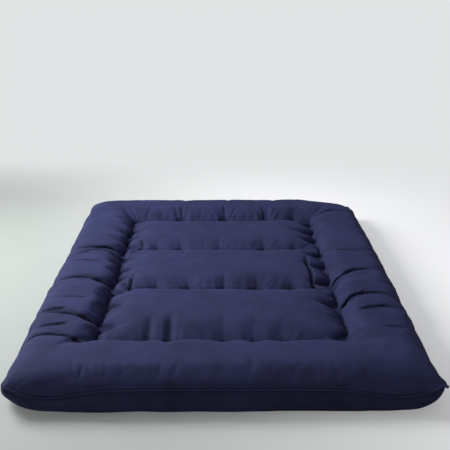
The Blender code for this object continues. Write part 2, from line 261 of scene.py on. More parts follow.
def topSurface(x, y):
    rise = edgeRise(x, y, mattress["edgeRounding"], stuffing["edgePower"])
    full = landHeight + rollRise(x, y) + pillowRise(x, y)
    atFoot, headLeft, headRight = corner["sink"]
    full = full - byEnd(y, atFoot, byEnd(x, headLeft, headRight)) * nearCorner(x, y, corner["sinkReach"])
    height = seamLevel(x, y) * (1 - rise) + full * rise
    least, atSides = stuffing["belly"]
    belly = least + atSides * smooth((abs(x) - 0.6) / 0.1) * smooth((y + 0.75) / 0.25)
    return stuffed(x, y, height, rise, belly)


def traySurface(x, y):
    lift = byEnd(x, *corner["trayLift"]) * nearCorner(x, y, corner["liftReach"])
    rise = edgeRise(x, y, mattress["trayRounding"] + lift, stuffing["trayPower"])
    return stuffed(x, y, seamLevel(x, y) * (1 - rise), rise, stuffing["trayBelly"], low=True)


# Grids and meshes

def lengthAlong(points):
    steps = np.linalg.norm(np.diff(points, axis=0), axis=1)
    return np.concatenate(([0], np.cumsum(steps)))


def evenLines(half, profile, count, exact):
    # grid lines the same length of fabric apart, with one exactly on each stitch line
    fine = np.linspace(-half, half, 8001)
    length = lengthAlong(profile(fine))
    lines = np.interp(np.linspace(0, length[-1], count + 1), length, fine)
    for place in exact:
        lines[np.argmin(abs(lines - place))] = place
    return lines


def normalsOf(points):
    normals = np.cross(np.gradient(points, axis=1), np.gradient(points, axis=0))
    return normals / np.maximum(np.linalg.norm(normals, axis=-1, keepdims=True), 1e-12)


def finer(values, factors):
    # smooth curve between coarse lines, along both directions of a grid
    for axis, factor in enumerate(factors):
        count = values.shape[axis]
        place = np.arange((count - 1) * factor + 1) / factor
        first = np.minimum(place.astype(int), count - 2)
        t = place - first
        weights = ((1 - t) ** 3 / 6, (3 * t**3 - 6 * t**2 + 4) / 6,
                   (-3 * t**3 + 3 * t**2 + 3 * t + 1) / 6, t**3 / 6)
        shape = [1] * values.ndim
        shape[axis] = -1
        total = 0
        for step, weight in enumerate(weights):
            line = np.clip(first + step - 1, 0, count - 1)
            total = total + np.take(values, line, axis=axis) * weight.reshape(shape)
        values = total
    return values


def gridFaces(rows, columns):
    index = np.arange(rows * columns).reshape(rows, columns)
    corners = (index[:-1, :-1], index[:-1, 1:], index[1:, 1:], index[1:, :-1])
    return np.stack(corners, axis=-1).reshape(-1, 4)


def ringFaces(base, rings, sides):
    # faces between rings of vertices that follow each other
    faces = []
    for first in range(base, base + (rings - 1) * sides, sides):
        for side in range(sides):
            beside = (side + 1) % sides
            faces.append((first + side, first + beside, first + sides + beside, first + sides + side))
    return faces


def addPiece(name, points, faces, normals=None):
    mesh = bpy.data.meshes.new(name)
    mesh.from_pydata(np.asarray(points).reshape(-1, 3), [], faces)
    mesh.update()
    mesh.shade_smooth()
    if normals is not None:
        mesh.normals_split_custom_set_from_vertices(normals.reshape(-1, 3))
    piece = bpy.data.objects.new(name, mesh)
    bpy.context.scene.collection.objects.link(piece)
    return piece


# Top cover as cloth: sewn down at the seam and along the stitching, pressed out by the filling

topCover = {
    "columns": 150,  # cells of cloth across
    "rows": 160,
    "finerBy": (4, 2),  # fine cells to a cell of cloth, along and across
    "growth": 0.031,  # fabric cut larger than the room it is sewn into
    "footGrowth": 0.010,  # the same on the foot roll and the foot pillow, which are smoother
    "pillowCalm": 0.75,  # how near the other pillows come to that
    "furthest": 0.012,  # cap on how far the filling moves it, m
    "frames": 20,
    "cloth": {"quality": 5, "mass": 0.2, "air_damping": 2, "tension_stiffness": 12,
              "compression_stiffness": 12, "shear_stiffness": 4, "bending_stiffness": 0.4,
              "use_pressure": True, "uniform_pressure_force": 5.0},
}


def bothLines():
    x = evenLines(halfWidth, lambda x: topSurface(x, np.zeros_like(x)), topCover["columns"],
                  (-fieldX, fieldX))
    y = evenLines(halfLength, lambda y: topSurface(np.zeros_like(y), y), topCover["rows"],
                  (-fieldY, -crossY, 0, crossY, fieldY))
    return x, y


def between(lines, factor):
    places = np.arange(len(lines)) * factor
    return np.interp(np.arange(places[-1] + 1), places, lines)


clothX, clothY = bothLines()
everyRow, everyColumn = topCover["finerBy"]
coarseX, coarseY = np.meshgrid(clothX, clothY)
fineX, fineY = np.meshgrid(between(clothX, everyColumn), between(clothY, everyRow))


def sewnDown(x, y):
    onSide = (abs(abs(x) - fieldX) < 1e-6) & (abs(y) <= fieldY + 1e-6)
    onEnd = (abs(abs(y) - fieldY) < 1e-6) & (abs(x) <= fieldX + 1e-6)
    onCross = (abs(abs(y) - crossY) < 1e-6) & (abs(x) <= crossX + 0.006)
    onSeam = (abs(x) > halfWidth - 1e-6) | (abs(y) > halfLength - 1e-6)
    return onSide | onEnd | onCross | onSeam


def fillCover(start):
    piece = addPiece("cloth", start, gridFaces(*start.shape[:2]))
    held = piece.vertex_groups.new(name="held")
    calm = piece.vertex_groups.new(name="calm")
    pillow = (abs(coarseX) < fieldX - 0.05) & (abs(coarseY) < fieldY)
    for group, where, weight in ((held, sewnDown(coarseX, coarseY), 1.0), (calm, coarseY < -fieldY, 1.0),
            (calm, pillow, topCover["pillowCalm"]),
            (calm, pillow & (coarseY < -crossY), 1.0)):
        group.add(np.flatnonzero(where.ravel()).tolist(), weight, "REPLACE")
    cloth = piece.modifiers.new("cloth", "CLOTH")
    for key, value in topCover["cloth"].items():
        setattr(cloth.settings, key, value)
    cloth.settings.vertex_group_mass = "held"
    cloth.settings.vertex_group_shrink = "calm"
    cloth.settings.shrink_min = -topCover["growth"]
    cloth.settings.shrink_max = -topCover["footGrowth"]
    cloth.settings.effector_weights.gravity = 0
    cloth.point_cache.frame_start = 1
    cloth.point_cache.frame_end = topCover["frames"]
    for number in range(1, topCover["frames"] + 1):
        bpy.context.scene.frame_set(number)
    settled = piece.evaluated_get(bpy.context.evaluated_depsgraph_get())
    result = np.empty(start.size)
    settled.data.vertices.foreach_get("co", result)
    bpy.context.scene.frame_set(1)
    bpy.data.objects.remove(piece)
    move = result.reshape(start.shape) - start
    size = np.linalg.norm(move, axis=-1, keepdims=True)
    cap = topCover["furthest"]
    return move * np.tanh(size / cap) * cap / np.maximum(size, 1e-9)


top = topSurface(fineX, fineY)
move = fillCover(topSurface(coarseX, coarseY))
moved = 1000 * np.linalg.norm(move, axis=-1)
print("cloth moved the cover by up to %.1f mm, %.1f mm on average" % (moved.max(), moved.mean()))
top = top + finer(move, topCover["finerBy"])


# Folds and gathers, sewn or squeezed into the cover. Each is a rounded furrow along a bowed line.
# Their depths and widths are in mm, everything else is in m.

furrow = {
    "blunt": 0.002,  # how round its bottom is
    "widens": 0.6,  # how much wider it ends than it begins
    "crease": 0.6,  # share of its depth that is a narrow crease; the rest is a soft dip
    "dipWidth": 3.6,  # in widths of the crease, as are the next two
    "lipPlace": 3,
    "lipWidth": 1.4,
    "lip": 0.2,  # how far the cloth rises beside it, in depths
    "strays": 0.003,
    "dentWidth": 0.045,  # of the broad dent that a big fold lies in
}
rollFolds = {
    "deeper": 1.9,  # times the depth in the table
    "deepest": 30,
    "width": 3.8,
    "dent": 0.3,  # depth of its broad dent, in depths
    "lead": 0.3,  # share of its length over which it comes in
    "besideWidth": 3,  # of the smaller folds beside it
    "wrinkleEvery": 0.045,
    "wrinkleDepth": (1.4, 3.4),
    "wrinkleWidth": (2.5, 4.5),
    # fans of fine gathers over the head roll: place, gathers in the fan
    "headFans": ((-0.45, 6), (-0.226, 5), (0.016, 5), (0.246, 4)),
}
# Folds that leave each pucker, with depth and reach for the pillow's side and for the roll's side
puckers = {
    "left": {"depth": (13, 7), "width": 10, "reach": (0.10, 0.05)},
    "right": {"depth": (11, 7), "width": 10, "reach": (0.075, 0.05)},
    "foot": {"depth": (3, 5), "width": 13, "reach": (0.09, 0.06)},
    "head": {"depth": (5, 7), "width": 10, "reach": (0.06, 0.09)},
    "footCross": {"depth": (8, 5), "width": 13, "reach": (0.13, 0.05)},
    "headCross": {"depth": (8, 5), "width": 13, "reach": (0.12, 0.05)},
}
gathers = {
    "nearEdge": ((-0.287, 12), (-0.207, 15)),  # two deep folds at the near edge of the foot pillow
    # folds past the ends of the cross lines, where the side channels begin: begin, end, depth, bow
    "channels": (((0.406, -0.235), (0.40, 0.12), 20, 0.0), ((0.406, 0.235), (0.475, 0.20), 13, 0.008),
                 ((0.406, -0.235), (0.47, -0.275), 12, 0.008), ((-0.406, -0.235), (-0.405, -0.10), 16, 0.0),
                 ((-0.406, -0.235), (-0.465, -0.195), 12, 0.01), ((-0.406, 0.235), (-0.41, 0.345), 16, 0.0),
                 ((-0.406, 0.235), (-0.47, 0.17), 14, 0.01)),
    "channelDeeper": 1.3,
    "seamPleats": (-0.52, -0.492, -0.463, -0.437, -0.412, -0.36, 0.35, 0.386),  # small, at the foot seam
}


def waves(spacing):
    # soft random height over the whole cover, about 0 and 1 in size
    shape = [int(2 * half / spacing) + 4 for half in (halfLength, halfWidth)]
    noise = finer(random.normal(size=shape), (6, 6)) * 1.6
    for count in fineX.shape:
        place = np.linspace(0, noise.shape[0] - 1.001, count)
        first = place.astype(int)
        share = (place - first)[:, None]
        noise = (noise[first] * (1 - share) + noise[first + 1] * share).T
    return noise


wander = waves(0.06)
lumps = waves(0.10)
crumple = waves(0.035)
tuck = np.zeros_like(fineX)


def addFold(start, end, depth, width, bow=0.0, fade=0.75, wide=0.0, lead=0.0):
    # bow is towards the head or to the right; wide adds a broad dent of its own depth;
    # lead and fade are the shares of its length over which it comes in and dies away
    start = np.array(start)
    run = np.array(end) - start
    length = np.hypot(*run)
    depth, width, wide = depth / 1000, width / 1000, wide / 1000
    middle = start + run / 2
    reach = length / 2 + 9 * width + abs(bow) + 0.12 * (wide > 0)
    rows = slice(*np.searchsorted(fineY[:, 0], (middle[1] - reach, middle[1] + reach)))
    columns = slice(*np.searchsorted(fineX[0], (middle[0] - reach, middle[0] + reach)))
    x, y = fineX[rows, columns], fineY[rows, columns]
    along = ((x - start[0]) * run[0] + (y - start[1]) * run[1]) / length**2
    across = ((y - start[1]) * run[0] - (x - start[0]) * run[1]) / length
    inRun = np.clip(along, 0, 1)
    side = np.sign(run[0] if abs(run[0]) > abs(run[1]) else -run[1])
    across = across - side * bow * 4 * inRun * (1 - inRun)
    across = across + furrow["strays"] * wander[rows, columns] * inRun
    spread = width * (1 + furrow["widens"] * inRun)
    crease = np.exp(-(np.sqrt(across**2 + furrow["blunt"] ** 2) - furrow["blunt"]) / spread)
    dip = hump(across, 0, furrow["dipWidth"] * spread)
    raised = hump(abs(across), furrow["lipPlace"] * spread, furrow["lipWidth"] * spread)
    before = np.exp(-((np.minimum(along, 0) * length / (2 * width)) ** 2))
    ends = before * smooth((1 - along) / fade) * (smooth(along / lead) if lead else 1)
    profile = furrow["crease"] * crease + (1 - furrow["crease"]) * dip - furrow["lip"] * raised
    tuck[rows, columns] += depth * ends * profile
    if wide:
        past = np.maximum(along - 1, 0) * length / 0.05
        dent = np.exp(-((across / furrow["dentWidth"]) ** 2) - past**2)
        tuck[rows, columns] += wide * dent * smooth(along / 0.3 + 0.3)


def addFan(point, heading, count, spread, reach, depth, width):
    # gathers that leave one point of the stitching round a heading, both in radians from +X
    for turn in np.linspace(-spread, spread, count):
        angle = heading + turn + random.normal(0, 0.06)
        length = reach * random.uniform(0.7, 1.15)
        start = np.array(point) + 0.22 * reach * np.array((-math.sin(heading), math.cos(heading))) * turn
        end = start + length * np.array((math.cos(angle), math.sin(angle)))
        addFold(start, end, depth * random.uniform(0.6, 1.2), width * random.uniform(0.8, 1.2), fade=0.9)


def foldRolls():
    for side, sign in (("left", -1), ("right", 1)):
        for begin, stop, near, far, depth, bow in folds[side]:
            deep = min(rollFolds["deeper"] * depth, rollFolds["deepest"])
            addFold((sign * (fieldX + near), begin), (sign * (fieldX + far), stop), deep,
                    rollFolds["width"], bow=bow, fade=0.5, wide=rollFolds["dent"] * depth,
                    lead=rollFolds["lead"] * (near > 0.045))
            for turn in range(2 + (depth > 10)):
                shift = (-1) ** turn * random.uniform(0.013, 0.03)
                start = (sign * (fieldX + near + random.uniform(0.02, 0.09)), begin + shift)
                end = (sign * (fieldX + near + random.uniform(0.13, 0.2)), stop + 1.3 * shift)
                addFold(start, end, depth * random.uniform(0.2, 0.4), rollFolds["besideWidth"], bow=bow,
                        fade=0.8, lead=rollFolds["lead"])
        for place in np.arange(-0.70, 0.78, rollFolds["wrinkleEvery"]):
            place = place + random.uniform(-0.02, 0.02)
            near = random.uniform(0, 0.14)
            start = (sign * (fieldX + near), place)
            end = (sign * (fieldX + near + random.uniform(0.06, 0.13)), place + random.normal(0, 0.025))
            addFold(start, end, random.uniform(*rollFolds["wrinkleDepth"]),
                    random.uniform(*rollFolds["wrinkleWidth"]), fade=0.8, lead=rollFolds["lead"])
    for place, count in rollFolds["headFans"]:
        addFan((place, fieldY), math.pi / 2, count, 0.42, 0.23, 6, 3.5)


def puckerAlong(places, point, heading, depth, width, reach):
    for place in places:
        here = point(place)
        strength = random.uniform(0.75, 1.2)
        for side in (0, 1):
            angle = heading + side * math.pi + random.normal(0, 0.22)
            length = reach[side] * random.uniform(0.8, 1.2) * strength
            end = (here[0] + length * math.cos(angle), here[1] + length * math.sin(angle))
            addFold(here, end, depth[side] * strength, width * strength, fade=1)
        addFan(here, heading, 3, 0.9, reach[0] * 0.7, depth[0] * 0.2, 4)


def foldStitching():
    for line, point, heading in (
        ("left", lambda place: (-fieldX, place), 0),
        ("right", lambda place: (fieldX, place), math.pi),
        ("foot", lambda place: (place, -fieldY), math.pi / 2),
        ("head", lambda place: (place, fieldY), math.pi / 2),
        ("footCross", lambda place: (place, -crossY), math.pi / 2),
        ("headCross", lambda place: (place, crossY), math.pi / 2),
    ):
        puckerAlong(folds[line + "Puckers"], point, heading, **puckers[line])
    for place, depth in gathers["nearEdge"]:
        addFold((place, -fieldY), (place + 0.006, -0.51), depth, 7, fade=0.6)
    for begin, end, depth, bow in gathers["channels"]:
        addFold(begin, end, gathers["channelDeeper"] * depth, 3.5, bow=bow, fade=0.4)
    for sign in (-1, 1):
        for end in (-1, 1):
            addFan((sign * crossX, end * crossY), 0 if sign > 0 else math.pi, 4, 0.9, 0.07, 4, 4)


def foldCorners():
    for across in (-1, 1):
        for along in (-1, 1):
            tip = (across * (halfWidth - 0.012), along * (halfLength - 0.012))
            addFan(tip, math.atan2(-along, -across), 5, 0.55, 0.16, 3, 6)
            start = (across * (fieldX + 0.02), along * (fieldY + 0.02))
            addFold(start, (across * (fieldX + 0.13), along * (fieldY + 0.12)), 6, 9)
    for place in gathers["seamPleats"]:
        place = place + random.normal(0, 0.004)
        addFold((place, -0.935), (place + 0.012, -1.008), 1.3, 4, fade=0.6)


foldRolls()
foldStitching()
foldCorners()
rise = edgeRise(fineX, fineY, mattress["edgeRounding"], stuffing["edgePower"])
room = np.where(rise > 0.85, np.maximum(top[..., 2] - landHeight - 0.0012, 0.0004), 0.05)
tuck = np.where(tuck > 0, room * (1 - np.exp(-tuck / room)), tuck)  # a fold ends at the lining
puff = (0.0016 * lumps + 0.0006 * crumple) * smooth(room / 0.03) - tuck
top = top + normalsOf(top) * (puff * smooth(rise / 0.5))[..., None]
onStitch = (abs(abs(fineX) - fieldX) < 0.004) | (abs(abs(fineY) - fieldY) < 0.004)
lowest = landHeight + np.where(onStitch, 0, 0.0014)
top[..., 2] = np.where(rise > 0.95, np.maximum(top[..., 2], lowest), top[..., 2])
soft = stuffing["softTop"]
over = np.maximum(top[..., 2] - mattress["fullHeight"] + soft, 0)
top[..., 2] = top[..., 2] - over + soft * np.tanh(over / soft)
print("folds are up to %.1f mm deep, top of the cover %.4f m" % (1000 * tuck.max(), top[..., 2].max()))


# Materials. Colours are sRGB; they render about as written under this light.

def toLinear(code):
    parts = [int(code[place:place + 2], 16) / 255 for place in (1, 3, 5)]
    return [part / 12.92 if part <= 0.04045 else ((part + 0.055) / 1.055) ** 2.4 for part in parts] + [1]


def addNode(tree, kind, settings):
    # each setting is an input, by name or number, or a property; a socket given as the value is linked
    node = tree.nodes.new("ShaderNode" + kind)
    for key, value in settings.items():
        if isinstance(key, str) and hasattr(node, key):
            setattr(node, key, value)
        elif isinstance(value, bpy.types.NodeSocket):
            tree.links.new(value, node.inputs[key])
        else:
            node.inputs[key].default_value = value
    return node


def newMaterial(name, settings):
    material = bpy.data.materials.new(name)
    material.use_nodes = True
    shader = material.node_tree.nodes["Principled BSDF"]
    for key, value in settings.items():
        shader.inputs[key].default_value = value
    return material, material.node_tree, shader


def makePlain(name, settings, kind, texture, shade, colour, strength, distance):
    # a material whose texture runs from one colour to the other and raises the surface
    material, tree, shader = newMaterial(name, settings)
    flat = addNode(tree, "UVMap", {"uv_map": "fabric"}).outputs["UV"]
    pattern = addNode(tree, kind, {"Vector": flat, **texture}).outputs["Fac"]
    mixed = addNode(tree, "Mix", {"data_type": "RGBA", 0: pattern, 6: toLinear(shade), 7: toLinear(colour)})
    tree.links.new(mixed.outputs[2], shader.inputs["Base Color"])
    bump = addNode(tree, "Bump", {"Height": pattern, "Strength": strength, "Distance": distance})
    tree.links.new(bump.outputs[0], shader.inputs["Normal"])
    return material


microfibre = {
    "colour": "#2a2c4b",
    "paintedShadeColour": "#1a1c30",  # painted shade, in furrows, along the stitching and over the bottom cover
    "raisedColour": "#353962",  # nap that stands up and is worn paler
    "sheen": 0.07,
    "sheenTint": "#7f8cff",
    "roughness": 0.86,
    "fabricWidth": 2.2,  # m of fabric that the cover's map spans
    "napPatch": 0.07,  # m, patches where the nap lies another way
    "streak": (0.12, 14),  # m, length of the brush's streaks, and how often their width goes in it
    "fibre": 0.0022,  # m, tufts of the brushed face, drawn twice as coarse as real
    "weave": 0.0029594,  # m from thread to thread, drawn coarser than the real 0.2 mm
    "bump": 0.25,
}


def bandScale(apart, slanted=False):
    # scale of a wave texture whose bands are this far apart on the fabric, in m
    return math.pi / (5 if slanted else 10) * microfibre["fabricWidth"] / apart


def makeMicrofibre():
    # Woven of fine polyester filament, then sueded with emery rollers, which cuts and raises a very short
    # nap. It takes light softly, shows a faint bluish edge and goes patchy where the nap lies another way.
    material, tree, shader = newMaterial("brushed polyester microfibre", {
        "Roughness": microfibre["roughness"],
        "Sheen Weight": microfibre["sheen"],
        "Sheen Roughness": 0.75,
        "Sheen Tint": toLinear(microfibre["sheenTint"]),
        "Specular IOR Level": 0.25,
        "IOR": 1.5,
    })
    flat = addNode(tree, "UVMap", {"uv_map": "fabric"}).outputs["UV"]
    span = microfibre["fabricWidth"]
    patches = addNode(tree, "TexNoise", {"Vector": flat, "Scale": span / microfibre["napPatch"] / 2,
            "Detail": 3.0, "Roughness": 0.6, "Distortion": 0.6})
    streakLength, slim = microfibre["streak"]
    streaks = addNode(tree, "Mapping", {"Vector": flat, "Scale": (1, slim, 1)})
    brushed = addNode(tree, "TexNoise", {"Vector": streaks.outputs[0], "Scale": span / streakLength,
            "Detail": 4.0})
    tufts = addNode(tree, "TexNoise", {"Vector": flat, "Scale": span / microfibre["fibre"] / 2,
            "Detail": 2.0})
    # painted shade: an attribute darkens the colour in furrows, along the stitching and on the bottom cover
    paintedShade = addNode(tree, "Attribute", {"attribute_name": "paintedShade"}).outputs["Fac"]
    nap = addNode(tree, "Math", {"operation": "MULTIPLY_ADD", 0: brushed.outputs["Fac"], 1: 0.4,
            2: patches.outputs["Fac"]})
    nap = addNode(tree, "Math", {"operation": "MULTIPLY_ADD", 0: tufts.outputs["Fac"], 1: 0.25,
            2: nap.outputs[0]})
    worn = addNode(tree, "MapRange", {"Value": nap.outputs[0], "From Min": 0.6, "From Max": 1.05})
    colour = addNode(tree, "Mix", {"data_type": "RGBA", 0: worn.outputs[0], 6: toLinear(microfibre["colour"]),
            7: toLinear(microfibre["raisedColour"])})
    colour = addNode(tree, "Mix", {"data_type": "RGBA", 0: paintedShade, 6: colour.outputs[2],
            7: toLinear(microfibre["paintedShadeColour"])})
    tree.links.new(colour.outputs[2], shader.inputs["Base Color"])
    threads, wefts = (addNode(tree, "TexWave", {"Vector": flat, "Scale": bandScale(microfibre["weave"]),
            "bands_direction": way}) for way in ("X", "Y"))
    height = addNode(tree, "Math", {"operation": "MULTIPLY", 0: threads.outputs["Fac"],
            1: wefts.outputs["Fac"]})
    height = addNode(tree, "Math", {"operation": "MULTIPLY_ADD", 0: tufts.outputs["Fac"], 1: 2.0,
            2: height.outputs[0]})
    bump = addNode(tree, "Bump", {"Height": height.outputs[0], "Strength": microfibre["bump"],
            "Distance": 0.0004})
    tree.links.new(bump.outputs[0], shader.inputs["Normal"])
    return material


fabric = makeMicrofibre()


# Covers, in a foot half and a head half, each over one fold line

halves = {
    "foot": ("foot_third", "middle_third", -foldLine),
    "head": ("middle_third", "head_third", foldLine),
}
covers = {
    "bendReach": 0.16,  # how far to each side of a fold line a bend of the covers would reach
    "flatSize": (0.84, 1.09),  # half the fabric of the top cover before it is sewn, m
    "fill": 0.85,
    # how much painted shade the top cover takes in its folds and along the stitching, and the bottom cover
    # all over
    "paintedShadeInFolds": 0.95,
    "paintedShadeAtStitching": 0.5,
    "paintedShadeBelow": 0.4,
    "trayLumps": 0.0035,
    "trayCrumple": 0.0012,
}


def bendWith(piece, nodes):
    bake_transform(piece)
    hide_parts(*nodes)


def layFabric(piece, u, v, paintedShade=None):
    # a map of the flat fabric, and how much painted shade it takes
    mesh = piece.data
    span = microfibre["fabricWidth"]
    flat = np.stack((u.ravel() / span + 0.5, v.ravel() / span + 0.5), axis=-1)
    loops = np.empty(len(mesh.loops), dtype=np.int32)
    mesh.loops.foreach_get("vertex_index", loops)
    mesh.uv_layers.new(name="fabric").data.foreach_set("uv", flat[loops].ravel())
    if paintedShade is not None:
        mesh.attributes.new("paintedShade", "FLOAT", "POINT").data.foreach_set("value", paintedShade.ravel())


def paintedShadeShare():
    # painted shade, where shade falls: 1 at the bottom of folds, and half of that along the stitching
    inFolds = covers["paintedShadeInFolds"] * np.clip((tuck - 0.004) / 0.011, 0, 1)
    atStitching = covers["paintedShadeAtStitching"] * hump(top[..., 2], landHeight, 0.010) * (rise > 0.9)
    return np.clip(inFolds + atStitching, 0, 1)


def lumpyTray():
    # the wall of the tray is pushed in and out a little; its flat underside stays flat
    points = traySurface(fineX, fineY)
    share = 1 - points[..., 2] / seamLevel(fineX, fineY)
    wall = np.clip(4 * share * (1 - share), 0, 1) ** 0.5 * (share < 0.999)
    bump = covers["trayLumps"] * lumps + covers["trayCrumple"] * crumple
    for axis, near in enumerate(fromEdge(fineX, fineY, 0.10)):
        points[..., axis] += np.sign((fineX, fineY)[axis]) * bump * wall * near
    return points


def makeCovers():
    middle = (top.shape[0] - 1) // 2
    wide, long = covers["flatSize"]
    clothU = np.broadcast_to(np.linspace(-wide, wide, fineX.shape[1]), fineX.shape)
    clothV = np.broadcast_to(np.linspace(-long, long, fineX.shape[0])[:, None], fineX.shape)
    paintedShade = paintedShadeShare()
    normals = normalsOf(top)
    for end, rows in (("foot", slice(0, middle + 1)), ("head", slice(middle, None))):
        faces = gridFaces(*top[rows].shape[:2])
        upper = addPiece("top_cover_" + end + "_half", top[rows], faces, normals[rows])
        layFabric(upper, clothU[rows], clothV[rows], paintedShade[rows])
        bendWith(upper, [end + "_top_cover", "middle_top_cover"])
        lower = addPiece("bottom_cover_" + end + "_half", tray[rows], faces[:, ::-1])
        # the bottom cover takes painted shade all over, for the shade it lies in below the seam
        layFabric(lower, clothU[rows], clothV[rows], np.full_like(clothU[rows], covers["paintedShadeBelow"]))
        bendWith(lower, [end + "_bottom_cover", "middle_bottom_cover"])
        for piece in (upper, lower):
            piece.data.materials.append(fabric)


tray = lumpyTray()
makeCovers()
print("covers made")


# Piping sewn into the seam, with a knot where its ends meet

piping = {
    "radius": 0.0033,
    "outside": 0.0028,  # how far its middle stands outside the seam
    "ringEvery": 0.006,
    "sides": 8,
    "knotThinner": 0.8,
    "knotSize": 0.0019,
    "knotOut": 0.004,
    "colour": "#34385a",
    "shade": "#2b2e4b",
    "strain": 0.010472,  # m from one slanting strain line to the next
}


def seamPath(end):
    # even steps along the seam of one half, from one side round the end to the other
    sign = -1 if end == "foot" else 1
    corners = [(halfWidth, 0), (halfWidth, sign * halfLength),
               (-halfWidth, sign * halfLength), (-halfWidth, 0)]
    pieces = [np.linspace(corners[step], corners[step + 1], 900, endpoint=step == 2) for step in range(3)]
    flat = np.concatenate(pieces)
    points = topSurface(flat[:, 0], flat[:, 1])
    length = lengthAlong(points)
    even = np.linspace(0, length[-1], int(length[-1] / piping["ringEvery"]) + 1)
    return np.stack([np.interp(even, length, points[:, axis]) for axis in range(3)], axis=-1)


def tubeAlong(name, points, radius, sides):
    along = np.gradient(points, axis=0)
    along /= np.linalg.norm(along, axis=1, keepdims=True)
    across = np.cross(along, (0, 0, 1))
    across /= np.linalg.norm(across, axis=1, keepdims=True)
    up = np.cross(across, along)
    turn = np.linspace(0, 2 * math.pi, sides, endpoint=False)[:, None, None]
    rings = points + radius * (np.cos(turn) * across + np.sin(turn) * up)
    vertices = rings.transpose(1, 0, 2).reshape(-1, 3)
    faces = ringFaces(0, len(points), sides)
    faces.append(tuple(range(sides))[::-1])
    faces.append(tuple(range((len(points) - 1) * sides, len(points) * sides)))
    piece = addPiece(name, vertices, faces)
    girth = np.arange(sides) * 2 * math.pi * radius / sides
    layFabric(piece, np.repeat(lengthAlong(points), sides), np.tile(girth, len(points)))
    return piece


def makePiping():
    for end in halves:
        points = seamPath(end)
        along = np.gradient(points, axis=0)
        outward = np.cross(along, (0, 0, 1))
        outward /= np.linalg.norm(outward, axis=1, keepdims=True)
        middle = points[:, :2].mean(axis=0)
        if np.sum(outward[:, :2] * (points[:, :2] - middle)) < 0:
            outward = -outward
        piece = tubeAlong("edge_piping_" + end + "_half", points + piping["outside"] * outward,
                          piping["radius"], piping["sides"])
        piece.data.materials.append(pipingCloth)
        bendWith(piece, [end + "_edge_piping", "middle_left_piping", "middle_right_piping"])


def tieKnot():
    # the two ends of the piping meet in a small knot at one corner of the foot end
    turn = np.linspace(0, 2 * math.pi, 40)
    tip = topSurface(np.array([halfWidth]), np.array([-halfLength]))[0]
    tip = tip + (piping["knotOut"], -piping["knotOut"], 0)
    loop = (np.sin(turn) + 2 * np.sin(2 * turn), np.cos(turn) - 2 * np.cos(2 * turn), -np.sin(3 * turn))
    piece = tubeAlong("piping_knot", tip + piping["knotSize"] * np.stack(loop).T,
                      piping["radius"] * piping["knotThinner"], piping["sides"])
    piece.data.materials.append(pipingCloth)
    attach(piece, "foot_third")


# The cover's own fabric cut on the bias and pulled tight over a cord, so its nap lies flat and it
# looks a little smoother than the cover, with slanting strain lines.
pipingCloth = makePlain(
    "bias cut microfibre over cord",
    {"Roughness": 0.8, "Sheen Weight": 0.25, "Sheen Roughness": 0.4,
     "Sheen Tint": toLinear(microfibre["sheenTint"]), "Specular IOR Level": 0.3}, "TexWave",
    {"Scale": bandScale(piping["strain"], slanted=True), "Distortion": 2.0, "bands_direction": "DIAGONAL"},
    piping["shade"], piping["colour"], 0.3, 0.0003)
makePiping()
tieKnot()
print("piping made")


# Stitching: separate stitches of thread, in the border line and in the two cross lines

stitching = {
    "length": 0.006,
    "every": 0.0085,
    "radius": 0.0007,
    "sides": 6,
    "lift": 0.0009,  # m, how far a stitch lies above the cover, and how far its ends dip from there
    "dip": 0.001,
    "shape": ((0, 0.15), (0.06, 0.8), (0.25, 1), (0.75, 1), (0.94, 0.8), (1, 0.15)),  # along, radius
    "colour": "#2a2e52",
    "shade": "#1f2340",
    "twist": 0.0025133,  # m from one turn of the plies to the next
}


def onCover(x, y):
    # points of the finished top cover
    column = np.interp(x, fineX[0], np.arange(fineX.shape[1]))
    row = np.interp(y, fineY[:, 0], np.arange(fineX.shape[0]))
    left = np.minimum(column.astype(int), fineX.shape[1] - 2)
    near = np.minimum(row.astype(int), fineX.shape[0] - 2)
    across = (column - left)[:, None]
    along = (row - near)[:, None]
    return ((top[near, left] * (1 - across) + top[near, left + 1] * across) * (1 - along)
            + (top[near + 1, left] * (1 - across) + top[near + 1, left + 1] * across) * along)


def sewAlong(name, corners, nodes):
    # each stitch is a short round-ended length of thread that lies on the cover
    runs = [np.linspace(corners[step], corners[step + 1], 600) for step in range(len(corners) - 1)]
    flat = np.concatenate(runs)
    points = onCover(flat[:, 0], flat[:, 1])
    length = lengthAlong(points)
    sides = stitching["sides"]
    vertices = []
    faces = []
    for begin in np.arange(0.002, length[-1] - stitching["length"], stitching["every"]):
        first, last = (np.array([np.interp(place, length, points[:, axis]) for axis in range(3)])
                       for place in (begin, begin + stitching["length"]))
        along = last - first
        across = np.cross(along, (0, 0, 1))
        across /= np.linalg.norm(across)
        up = np.cross(across, along)
        up /= np.linalg.norm(up)
        base = len(vertices)
        for place, share in stitching["shape"]:
            lift = stitching["lift"] - stitching["dip"] * (2 * place - 1) ** 4
            middle = first + along * place + up * lift
            for turn in np.linspace(0, 2 * math.pi, sides, endpoint=False):
                ring = np.cos(turn) * across + np.sin(turn) * up
                vertices.append(middle + ring * stitching["radius"] * share)
        faces += ringFaces(base, len(stitching["shape"]), sides)
    piece = addPiece(name, vertices, faces)
    number = np.arange(len(vertices))
    layFabric(piece, number // sides * 0.001, number % sides * stitching["radius"])
    piece.data.materials.append(thread)
    bendWith(piece, nodes)


def makeStitching():
    for end, sign in (("foot", -1), ("head", 1)):
        border = ((fieldX, 0), (fieldX, sign * fieldY), (-fieldX, sign * fieldY), (-fieldX, 0))
        sewAlong(end + "_border_stitching_half", border,
                 [end + "_border_stitching", "middle_left_border_stitching", "middle_right_border_stitching"])
        cross = ((-crossX, sign * crossY), (crossX, sign * crossY))
        sewAlong(end + "_cross_stitching_line", cross, [end + "_cross_stitching"])


